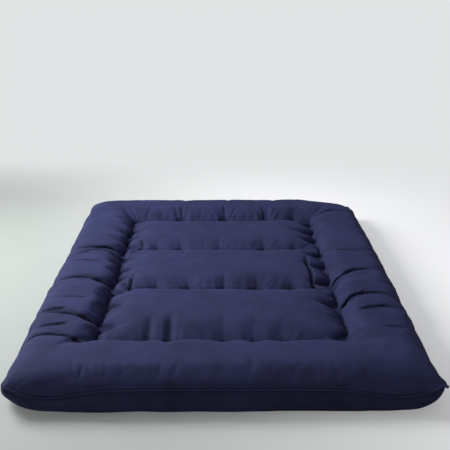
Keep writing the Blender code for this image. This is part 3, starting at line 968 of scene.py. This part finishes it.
# Two plies of bright polyester twisted together; the twist catches small glints.
thread = makePlain(
    "twisted polyester thread", {"Roughness": 0.45, "Specular IOR Level": 0.5}, "TexWave",
    {"Scale": bandScale(stitching["twist"], slanted=True), "bands_direction": "DIAGONAL"},
    stitching["shade"], stitching["colour"], 0.5, 0.0002)
makeStitching()
print("stitching made")


# What the covers hold: loose fibre above the lining, a foam pad and wadding below it

inside = {
    "underCover": 0.006,  # room that the loose fibre leaves under the folded cover, m
    "edgeGap": 0.034,  # how far inside the seam the pieces end
    "stitchGap": 0.014,
    "thinnest": 0.0006,  # the lining's thickness, and the least of the others
    "aboveLining": 0.0016,  # where the loose fibre begins
    "belowLining": 0.0012,  # where the pad ends
    "fill": 0.7,
    "padTop": 0.0938,
    "padBottom": 0.0453,
    "waddingTop": 0.0445,
}


def lowestAround(values, reach):
    for axis in (0, 1):
        moved = [np.roll(values, step, axis=axis) for step in range(-reach, reach + 1)]
        values = np.minimum.reduce(moved)
    return values


planX, planY = plan(coarseX, coarseY)
toEdge = np.minimum(halfWidth - abs(coarseX), halfLength - abs(coarseY))
liningZ = mattress["liningHeight"]
liningZ = liningZ + (seamLevel(coarseX, coarseY) - liningZ) * smooth(1 - toEdge / 0.12)
roomZ = lowestAround(top[..., 2], 5)[::everyRow, ::everyColumn] - inside["underCover"]
trayZ = -lowestAround(-tray[..., 2], 3)[::everyRow, ::everyColumn]


def addSolid(name, rows, columns, low, high):
    # a closed solid between two heights over some lines of the cloth grid
    choose = np.ix_(rows, columns)
    low = low[choose]
    high = np.maximum(high[choose], low + inside["thinnest"])
    count = low.size
    vertices = [np.stack((planX[choose], planY[choose], level), axis=-1).reshape(-1, 3)
                for level in (low, high)]
    faces = gridFaces(*low.shape)
    index = np.arange(count).reshape(low.shape)
    rim = np.concatenate((index[0, :-1], index[:-1, -1], index[-1, :0:-1], index[:0:-1, 0]))
    after = np.roll(rim, -1)
    walls = np.stack((rim, after, after + count, rim + count), axis=-1)
    vertices = np.concatenate(vertices)
    piece = addPiece(name, vertices, np.concatenate((faces[:, ::-1], faces + count, walls)))
    layFabric(piece, vertices[:, 0], vertices[:, 1])
    return piece


def linesFrom(lines, low, high):
    return np.flatnonzero((lines > low - 1e-6) & (lines < high + 1e-6))


def makeInside():
    gap = inside["stitchGap"]
    farX = halfWidth - inside["edgeGap"]
    farY = halfLength - inside["edgeGap"]
    fillLow = liningZ + inside["aboveLining"]
    padLow = np.maximum(trayZ + 0.004, inside["padBottom"])
    padHigh = np.minimum(liningZ - inside["belowLining"], inside["padTop"])
    waddingHigh = np.maximum(trayZ + 0.003, inside["waddingTop"])
    parts = (
        ("end_roll_fill", "roll", -farX, farX, fillLow, roomZ, fibre, "fibre_fill"),
        ("left_roll_fill", "side", -farX, -fieldX - gap, fillLow, roomZ, fibre, "fibre_fill"),
        ("right_roll_fill", "side", fieldX + gap, farX, fillLow, roomZ, fibre, "fibre_fill"),
        ("centre_fill", "side", gap - fieldX, fieldX - gap, fillLow, roomZ, fibre, "fibre_fill"),
        ("inner_lining", "all", -farX, farX, liningZ, liningZ + inside["thinnest"], calico, "lining"),
        ("support_pad", "all", -farX, farX, padLow, padHigh, foam, "support_pad"),
        ("base_wadding", "all", -farX, farX, trayZ + 0.002, waddingHigh, wadding, "base_wadding"),
    )
    for end, sign in (("foot", -1), ("head", 1)):
        span = {"roll": sorted((sign * (fieldY + gap), sign * farY)),
                "side": sorted((0, sign * (fieldY - gap))),
                "all": sorted((0, sign * farY))}
        for part, reach, left, right, low, high, material, slot in parts:
            rows = linesFrom(clothY, *span[reach])
            piece = addSolid(end + "_" + part + "_half", rows, linesFrom(clothX, left, right), low, high)
            piece.data.materials.append(material)
            if reach == "roll":
                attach(piece, end + "_third")
                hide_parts(end + "_" + part)
            else:
                bendWith(piece, [end + "_" + part, "middle_" + part])


# Staple polyester blown in loose, woven unbleached cotton, cut foam and fibre bonded into a sheet are all
# pale and dull, and mottled at the size of their tufts, threads or cells.
fibre, calico, foam, wadding = (
    makePlain(name, {"Roughness": roughness, "Sheen Weight": 0.2}, "TexNoise",
              {"Scale": microfibre["fabricWidth"] / size, "Detail": 4.0}, shade, colour, 0.5, size / 5)
    for name, colour, shade, size, roughness in (
        ("loose polyester fibre", "#f2f1ec", "#d6d4cc", 0.004, 0.95),
        ("unbleached calico", "#e6dfcd", "#d2c8b2", 0.002, 0.9),
        ("polyurethane foam", "#efe2b8", "#dccb98", 0.003, 0.85),
        ("bonded wadding", "#dcdcd6", "#c0c0b9", 0.005, 0.95)))
makeInside()
print("inside made")


# Room: a pale floor that fades into a pale backdrop all round, one big soft light and a camera

studio = {
    "floorColour": "#b7beb9",  # painted light: the floor's colour on its dim side, and on its paler bright side at the right
    "brightColour": "#fbfbfd",
    "bounceColour": "#bfbaac",  # what the floor sends back on to the mattress
    "wallColour": "#e2e4e5",
    "byLamp": 0.42,  # painted shade: share of its colour that the floor keeps far to the left, by the light
    "floorGlow": (0.12, 0.41),  # white light that the floor adds for the camera only, dim and bright side
    "lampFrom": (-2.6, -0.3),  # x between which it gets that back
    "brightFrom": (-0.9, 1.3),  # x + 0.35 y between which it goes from the dim side to the bright side
    "fadeBehind": (1.25, 2.6),  # y between which the floor fades into the backdrop
    "fadeAround": (2.3, 4.6),  # the same for the distance from the middle
    "windowPower": 98,
    "windowSize": 1.5,
    "windowPlace": (-2.4, 0.40, 1.95),
    "airLight": 0.24,
    "airColour": (0.93, 0.96, 1, 1),
    "cameraPlace": (-0.003, -3.180, 1.458),
    "cameraDown": 19.44,  # degrees below level, and to the left of straight ahead
    "cameraTurn": -0.28,
    "sensor": 36,
    "lens": 58.6,
}


def makeRoom():
    corners = [(x, y, -0.0006) for x, y in ((-14, -14), (14, -14), (14, 14), (-14, 14))]
    floor = addPiece("floor", corners, [(0, 1, 2, 3)])
    material, tree, shader = newMaterial("painted floor", {"Roughness": 0.7, "Specular IOR Level": 0.2})
    place = addNode(tree, "TexCoord", {}).outputs["Object"]
    split = addNode(tree, "SeparateXYZ", {"Vector": place})
    slope = addNode(tree, "Math", {"operation": "MULTIPLY_ADD", 0: split.outputs["Y"], 1: 0.35,
        2: split.outputs["X"]})
    away = addNode(tree, "VectorMath", {"operation": "LENGTH", 0: place})
    bright, lampSide, behind, around = (
        addNode(tree, "MapRange", {"interpolation_type": "SMOOTHSTEP", "Value": value, "To Min": least,
            "From Min": studio[key][0], "From Max": studio[key][1]}).outputs[0]
        for value, key, least in ((slope.outputs[0], "brightFrom", 0),
                                  (split.outputs["X"], "lampFrom", studio["byLamp"]),
                                  (split.outputs["Y"], "fadeBehind", 0),
                                  (away.outputs["Value"], "fadeAround", 0)))
    grain = addNode(tree, "TexNoise", {"Vector": place, "Scale": 3.0, "Detail": 4.0})
    soft = addNode(tree, "MapRange", {"Value": grain.outputs["Fac"], "To Min": 0.97, "To Max": 1.03})
    soft = addNode(tree, "Math", {"operation": "MULTIPLY", 0: soft.outputs[0], 1: lampSide})
    # painted light and shade: the floor is paler towards the right and darker towards the lamp at the left
    colour = addNode(tree, "Mix", {"data_type": "RGBA", 0: bright,
            6: toLinear(studio["floorColour"]), 7: toLinear(studio["brightColour"])})
    camera = addNode(tree, "LightPath", {}).outputs["Is Camera Ray"]
    colour = addNode(tree, "Mix", {"data_type": "RGBA", 0: camera, 6: toLinear(studio["bounceColour"]),
            7: colour.outputs[2]})
    colour = addNode(tree, "VectorMath", {"operation": "SCALE", 0: colour.outputs[2],
            "Scale": soft.outputs[0]})
    tree.links.new(colour.outputs[0], shader.inputs["Base Color"])
    glow = addNode(tree, "MapRange", {"Value": bright, "To Min": studio["floorGlow"][0],
            "To Max": studio["floorGlow"][1]})
    glow = addNode(tree, "Math", {"operation": "MULTIPLY", 0: camera, 1: glow.outputs[0]})
    tree.links.new(glow.outputs[0], shader.inputs["Emission Strength"])
    wall = addNode(tree, "Emission", {"Color": toLinear(studio["wallColour"])})
    fade = addNode(tree, "Math", {"operation": "MAXIMUM", 0: behind, 1: around})
    fade = addNode(tree, "Math", {"operation": "MULTIPLY", 0: fade.outputs[0], 1: camera})
    mixed = addNode(tree, "MixShader", {0: fade.outputs[0], 1: shader.outputs[0], 2: wall.outputs[0]})
    tree.links.new(mixed.outputs[0], tree.nodes["Material Output"].inputs["Surface"])
    floor.data.materials.append(material)


def lightRoom():
    window = bpy.data.objects.new("window", bpy.data.lights.new("window", "AREA"))
    bpy.context.scene.collection.objects.link(window)
    window.data.size = studio["windowSize"]
    window.data.energy = studio["windowPower"]
    window.location = studio["windowPlace"]
    window.rotation_euler = (-window.location).to_track_quat("-Z", "Y").to_euler()
    world = bpy.data.worlds.new("air")
    bpy.context.scene.world = world
    world.use_nodes = True
    tree = world.node_tree
    seen = addNode(tree, "LightPath", {}).outputs["Is Camera Ray"]
    air = tree.nodes["Background"]
    air.inputs["Color"].default_value = studio["airColour"]
    air.inputs["Strength"].default_value = studio["airLight"]
    backdrop = addNode(tree, "Background", {"Color": toLinear(studio["wallColour"])})
    mixed = addNode(tree, "MixShader", {0: seen, 1: air.outputs[0], 2: backdrop.outputs[0]})
    tree.links.new(mixed.outputs[0], tree.nodes["World Output"].inputs["Surface"])


def addCamera():
    camera = bpy.data.objects.new("camera", bpy.data.cameras.new("camera"))
    bpy.context.scene.collection.objects.link(camera)
    camera.location = studio["cameraPlace"]
    camera.rotation_euler = (math.radians(90 - studio["cameraDown"]), 0, math.radians(studio["cameraTurn"]))
    camera.data.sensor_width = studio["sensor"]
    camera.data.lens = studio["lens"]
    bpy.context.scene.camera = camera
    bpy.context.scene.view_settings.view_transform = "Standard"


makeRoom()
lightRoom()
addCamera()
print("room, light and camera made")
